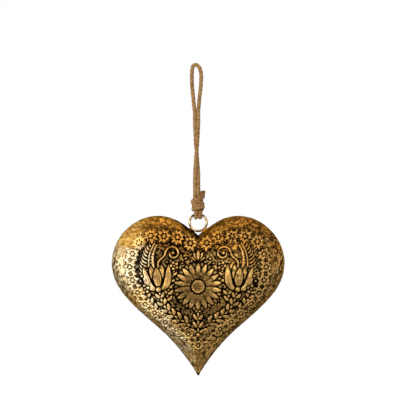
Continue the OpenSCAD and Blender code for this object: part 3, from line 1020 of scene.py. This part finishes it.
def patina():
    """Antiqued copper alloy: gold polished by wear on what stands out, brown clouds between, near black in
    hollows, with painted highlights on the left and painted shade on the right, along the rim, round the
    motifs and in the cleft.
    """
    paint = Paint(bpy.data.materials.new("patinated_copper"))
    mix, times, stepped = paint.mix, paint.times, paint.stepped
    across, _, up = paint.node("SeparateXYZ", {0: paint.place()})
    clouds = paint.noise(18, 5, 0.6, (1.5, 1, 0.8))
    wear = paint.noise(6, 3, 0.6)
    streaks = paint.noise(3, 5, 0.7, (1.4, 1, 0.9))
    strokes = paint.noise(3, 5, 0.75, (0.8, 0.7, 1.3))
    grit = paint.noise(1.1, 2, 0.6)

    drift = stepped(clouds, 0.35, 0.65, -0.25, 0.25)
    warm = stepped(paint.plus(up, stepped(clouds, 0.3, 0.7, -0.015, 0.015)), WARM_START, WARM_FULL)
    sheen_share = stepped(paint.plus(paint.value("painted_sheen"), drift), 0.1, 0.9)
    # pale_highlight: where the painted highlight lies, which also takes a glossy coat
    pale_highlight = stepped(paint.plus(paint.value("pale"), drift), 0.2, 0.9)
    off_highlight = stepped(pale_highlight, 0, 1, 1, 0.65)

    # The third tone is the painted sheen of the upper left lobe, the fourth the painted highlight of the left
    # side
    def toned(low, top, lobe, side):
        return mix(pale_highlight, mix(sheen_share, mix(warm, low, top), lobe), side)

    def shaded_right(colour, share):
        """A colour that falls to a share of itself on the right: painted shade on the side away from the
        light.
        """
        return paint.scaled(colour, stepped(across, SHADE_RIGHT_START, SHADE_RIGHT_END, 1, share))

    gold, brown, bright = toned(*GOLD), toned(*BROWN), toned(*BRIGHT)
    colour = shaded_right(mix(stepped(clouds, 0.4, 0.58), brown, gold), 0.54)
    colour = mix(times(stepped(streaks, 0.5, 0.6, 0, 0.8), off_highlight), colour, bright)
    colour = mix(stepped(streaks, 0.49, 0.4, 0, 0.95), colour, brown)
    # Brown for darker patina, and for painted shade along the rim and in the cleft
    colour = mix(times(paint.value("brown_and_shade"), 0.7), colour, brown)

    fringe = paint.value("fringe")
    colour = mix(times(fringe, stepped(strokes, 0.505, 0.45)), colour, paint.scaled(brown, 0.3))
    brushed = times(times(fringe, stepped(strokes, 0.525, 0.57, 0, 0.9)), off_highlight)
    colour = mix(brushed, colour, shaded_right(bright, 0.8))

    # Bright where the relief is polished by wear, and where the joint solder has a painted highlight
    worn_and_highlit = times(paint.value("rubbed_and_highlit"), stepped(wear, 0.35, 0.62, 0.45, 1))
    colour = mix(stepped(worn_and_highlit, 0.1, 0.8, 0, 0.9), colour, shaded_right(bright, 0.66))
    colour = mix(stepped(grit, 0.42, 0.32, 0, 0.8), colour, GRIT)
    deep = paint.most(paint.value("hollow"), times(paint.value("shade"), 0.9))
    # Black where painted shade lies on the notch's left wall
    sooty = times(paint.value("soot"), stepped(streaks, 0.6, 0.44, 0.45, 1))
    black = stepped(paint.most(deep, sooty), 0.1, 0.75)
    return paint.finished({
        "Base Color": mix(black, colour, BLACK),
        "Metallic": stepped(black, 0.2, 0.9, 1.0, 0.0),
        "Roughness": paint.plus(stepped(streaks, 0.3, 0.7, 0.45, 0.32), times(black, 0.25)),
        "Coat Weight": times(pale_highlight, stepped(black, 0, 0.6, 0.1, 0.0)),
        "Coat Roughness": 0.3,
        "Specular IOR Level": 0.0,
        "Specular Tint": (0.75, 0.6, 0.4),
        "Normal": paint.bump(streaks, 0.4, 0.3, Normal=paint.bump(grit, 0.35, 0.12)),
    })


PATINA = patina()


def make_shells():
    """The two halves of the heart, pressed alike."""
    relief, grids = embossed()
    plain, outer, inner, faces = shell_form(relief, grids["height"])
    points = np.vstack([outer, inner]) + (0, 0, HEART_Z)
    marks = patina_values(plain, outer, relief, grids)
    values = {name: np.concatenate([mark, np.zeros(len(inner))]) for name, mark in marks.items()}
    for name, node_name, mirror in (("heart_front", "front_shell", 1), ("heart_back", "back_shell", -1)):
        build = Build()
        build.add(points * (1, mirror, 1), [face[::mirror] for face in faces], **values)
        piece = build.piece(name, PATINA, "patinated_shell")
        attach(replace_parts(piece, node_name), "heart")


make_shells()

# Metal that joins and hangs the heart

# WIRE_BLACK: on the seam, painted shade at the notch and black at the tip; on the ring, darker near its top
WIRE_BLACK, WIRE_TINT = (0.004, 0.003, 0.002), (0.6, 0.48, 0.3)


def wire_metal(name, pale, dark):
    """Metal with tarnish in patches and fine scratches."""
    paint = Paint(bpy.data.materials.new(name))
    darkening = paint.noise(4, 4, 0.6)
    fine = paint.noise(0.35, 3, 0.6, (1, 1, 3))
    colour = paint.mix(paint.stepped(darkening, 0.42, 0.62, 0, 0.9), pale, dark)
    colour = paint.mix(paint.stepped(fine, 0.56, 0.7, 0, 0.35), colour, dark)
    return paint.finished({
        "Base Color": paint.mix(paint.value("soot"), colour, WIRE_BLACK),
        "Roughness": paint.stepped(darkening, 0.3, 0.75, 0.22, 0.45),
        "Normal": paint.bump(fine, 0.2, 0.05),
        "Metallic": 1.0,
        "Specular Tint": WIRE_TINT,
    })


def seam_bead():
    """The solder between the rims: a lumpy bead along the outline, fuller in the notch and at the tip."""
    step, sides, bead_r, inset = 0.9, 10, 0.72, 0.36
    half = half_outline(160)
    loop = np.vstack([half, (half * (-1, 1))[-2:0:-1]])
    count = round(length_of(loop) / step)
    closed = np.vstack([loop, loop[:1]])
    loop = point_at(closed, np.linspace(0, length_of(closed), count, endpoint=False))
    way = unit(np.roll(loop, -1, axis=0) - np.roll(loop, 1, axis=0))
    out = np.stack([-way[:, 1], way[:, 0]], axis=1)
    turn = angles_round(sides)
    rng = np.random.default_rng(31)
    lumps = np.convolve(np.tile(rng.normal(0, 1, count), 3), np.ones(5) / 5, mode="same")[count:2 * count]
    notch = ease(np.linalg.norm(loop - NOTCH, axis=1), 14, 2)
    tip = ease(np.linalg.norm(loop - TIP, axis=1), 4, 1)
    radius = bead_r * (1 + 0.16 * lumps + 0.8 * notch + 0.5 * tip)[:, None]
    reach = (0.35 * notch - inset)[:, None] + radius * np.cos(turn)
    across, up = loop[:, :1] + out[:, :1] * reach, loop[:, 1:] + out[:, 1:] * reach
    points = np.stack([across, radius * np.sin(turn) * 1.1, up + HEART_Z], axis=2).reshape(-1, 3)
    faces = [(a, d, c, b) for a, b, c, d in band_faces(count, sides, closed=True)]
    # Black at the tip of the seam, and painted shade on the notch's left side
    soot = np.maximum(tip, soot_at(loop[:, 0], loop[:, 1]))
    build = Build()
    build.add(points, faces, soot=np.repeat(soot, sides))
    material = wire_metal("seam_solder", pale=(0.10, 0.06, 0.022), dark=(0.02, 0.013, 0.006))
    piece = build.piece("seam_bead", material, "dark_solder")
    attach(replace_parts(piece, "seam_solder"), "heart")


def brass_ring():
    """The hanging ring: a bent wire whose ends butt together, darker near its top."""
    joint_angle, gap_angle, step_angle, sides, end_share = 60, 2, 3, 20, 0.82
    start, sweep = joint_angle + gap_angle / 2, 360 - gap_angle
    turn = np.radians(np.linspace(start, start + sweep, round(sweep / step_angle) + 1))[:, None]
    out = np.hstack([np.cos(turn), np.zeros_like(turn), np.sin(turn)])
    front = np.tile((0, 1, 0), (len(turn), 1))
    radii = np.full((len(turn), sides), RING_WIRE_R)
    radii[[0, -1]] *= end_share
    darkening = 0.85 * ease(np.sin(turn), 0.62, 0.82) * np.ones(sides)
    build = Build()
    build.tube((0, 0, RING_Z) + RING_R * out, radii, out, front, soot=darkening.ravel())
    material = wire_metal("ring_brass", pale=(0.66, 0.46, 0.235), dark=(0.14, 0.09, 0.03))
    piece = build.piece("brass_ring", material, "ring_wire")
    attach(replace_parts(piece, "hanging_ring"), "heart")


def ring_joints():
    """The solder that holds the ring on each side of the notch, black with painted shade on the left and
    bright with a painted highlight on the right.
    """
    half_length, half_w, half_h, lift = 3.4, 2.2, 1.5, 0.5
    wall, centre = half_outline(60) + (0, HEART_Z), np.array([0, RING_Z])
    seat = wall[np.argmin(np.linalg.norm(wall - centre, axis=1))]
    share, turn = np.linspace(-1, 1, 13), angles_round(20)
    oval = 1 / np.hypot(np.cos(turn) / half_w, np.sin(turn) / half_h)
    build, rng = Build(), np.random.default_rng(32)
    # The left lump is blackened with painted shade, the right one brightened with a painted highlight
    for side, soot, painted_highlight in ((-1, 0.9, 0.0), (1, 0.0, 1.0)):
        out = unit((centre - seat) * (side, 1))
        up, along = np.array([out[0], 0, out[1]]), np.array([side * abs(out[1]), 0, abs(out[0])])
        middle = np.array([side * seat[0], 0, seat[1]]) + lift * up
        line = middle + half_length * share[:, None] * along
        lumps = 1 + rng.uniform(-0.1, 0.1, (len(share), len(turn)))
        radii = oval * np.sqrt(1 - 0.97 * share**2)[:, None] * lumps
        across = np.tile(np.cross(up, along), (len(share), 1))
        values = {"soot": np.full(radii.size, soot), "rubbed_and_highlit": np.full(radii.size, painted_highlight)}
        build.tube(line, radii, across, np.tile(up, (len(share), 1)), **values)
    piece = build.piece("ring_joints", PATINA, "dark_solder")
    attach(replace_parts(piece, "ring_solder"), "heart")


seam_bead()
brass_ring()
ring_joints()

# Floor, light and background, in metres and watts

FLOOR_Z, FLOOR_R, FLOOR_COLOUR = -0.62, 1.3, (0.86, 0.86, 0.85)
SEEN_STRENGTH, LIGHT_STRENGTH = 1.0, 0.4
HEART_MIDDLE = (0, 0, -0.21)
# Lamps: name, place, size and power
LAMPS = [
    ("key", (-1.2, -0.7, -0.22), 0.7, 9),
    ("fill", (0.3, -1.6, 0.2), 0.9, 8),
    ("top", (0.1, -0.2, 0.9), 0.8, 3),
]


def make_floor():
    bpy.ops.mesh.primitive_circle_add(vertices=96, radius=FLOOR_R, fill_type="NGON", location=(0, 0, FLOOR_Z))
    floor = bpy.context.object
    floor.name = "floor"
    paint = Paint(bpy.data.materials.new("pale_floor"))
    floor.data.materials.append(paint.finished({"Base Color": FLOOR_COLOUR, "Roughness": 0.9}))


def make_world():
    """White to the eye and in reflections, and dimmer as light."""
    world = bpy.data.worlds.new("studio")
    bpy.context.scene.world = world
    paint = Paint(world)
    paint.tree.nodes.clear()
    rays = paint.node("LightPath")
    seen = paint.most(paint.most(rays["Is Camera Ray"], rays["Is Glossy Ray"]), rays["Is Transmission Ray"])

    def background(strength):
        return paint.node("Background", {"Color": (1, 1, 1), "Strength": strength})[0]

    inputs = {0: seen, 1: background(LIGHT_STRENGTH), 2: background(SEEN_STRENGTH)}
    paint.node("OutputWorld", {"Surface": paint.node("MixShader", inputs)[0]})


def make_lamp(name, place, size, watts):
    """A round soft lamp that points at the heart."""
    data = bpy.data.lights.new(name, "AREA")
    data.shape, data.size, data.energy = "DISK", size, watts
    lamp = bpy.data.objects.new(name, data)
    lamp.location = place
    way = np.subtract(HEART_MIDDLE, place)
    yaw, pitch = math.atan2(-way[0], way[1]), math.atan2(way[2], math.hypot(way[0], way[1]))
    lamp.rotation_euler = (math.radians(90) + pitch, 0, yaw)
    bpy.context.collection.objects.link(lamp)


make_floor()
make_world()
for lamp_facts in LAMPS:
    make_lamp(*lamp_facts)

bpy.context.scene.view_settings.view_transform = "Standard"
